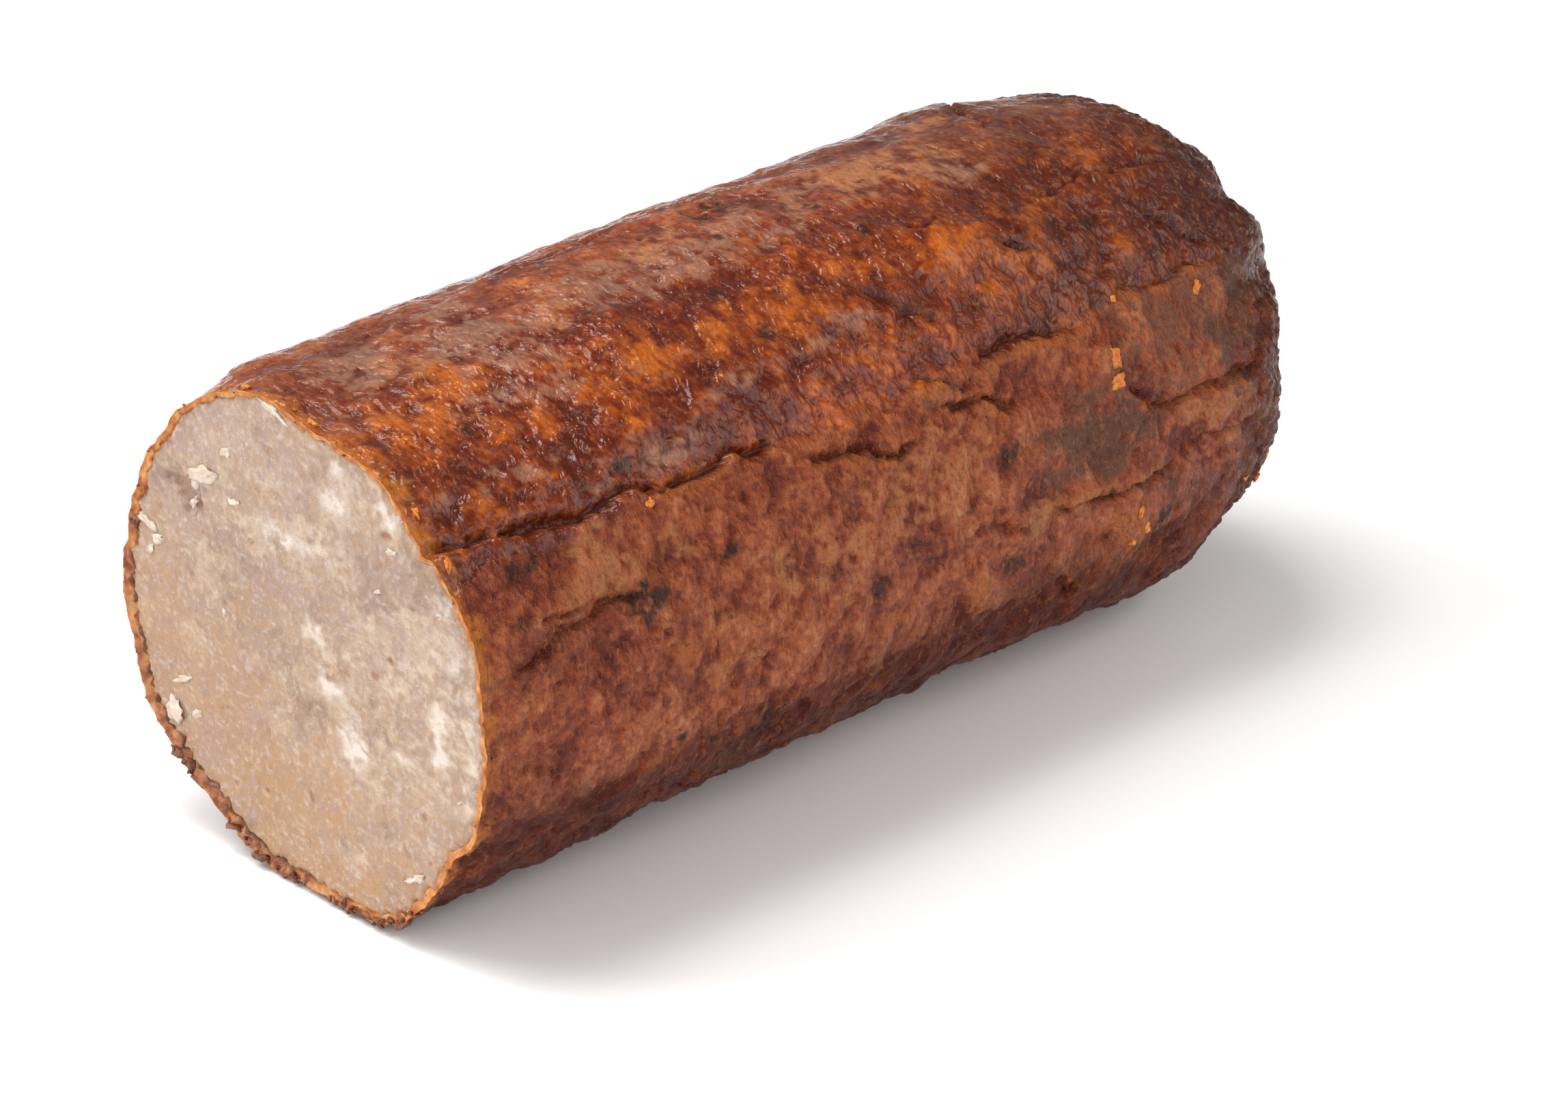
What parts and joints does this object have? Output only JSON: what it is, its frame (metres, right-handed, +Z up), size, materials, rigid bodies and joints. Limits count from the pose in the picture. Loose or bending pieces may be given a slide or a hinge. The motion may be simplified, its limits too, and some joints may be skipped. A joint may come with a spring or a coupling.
{
  "type": "cooked sausage",
  "caption": "Thick cooked sausage with browned, folded, partly glazed skin, cut across at one end and rounded at the other, resting on its side.",
  "frame": {"origin": "centre of the bounding box in X and Y, at the underside that rests on the table", "axes": "+X along the sausage from the cut face to the rounded end, -Y to the side with the deep folds, +Z up"},
  "size_m": [0.2386, 0.1084, 0.1088],
  "materials": {
    "crust": "browned and partly glazed",
    "meat": "moist fine cut meat"
  },
  "bodies": {
    "root": {"sausage": "crust"}
  },
  "joints": []
}
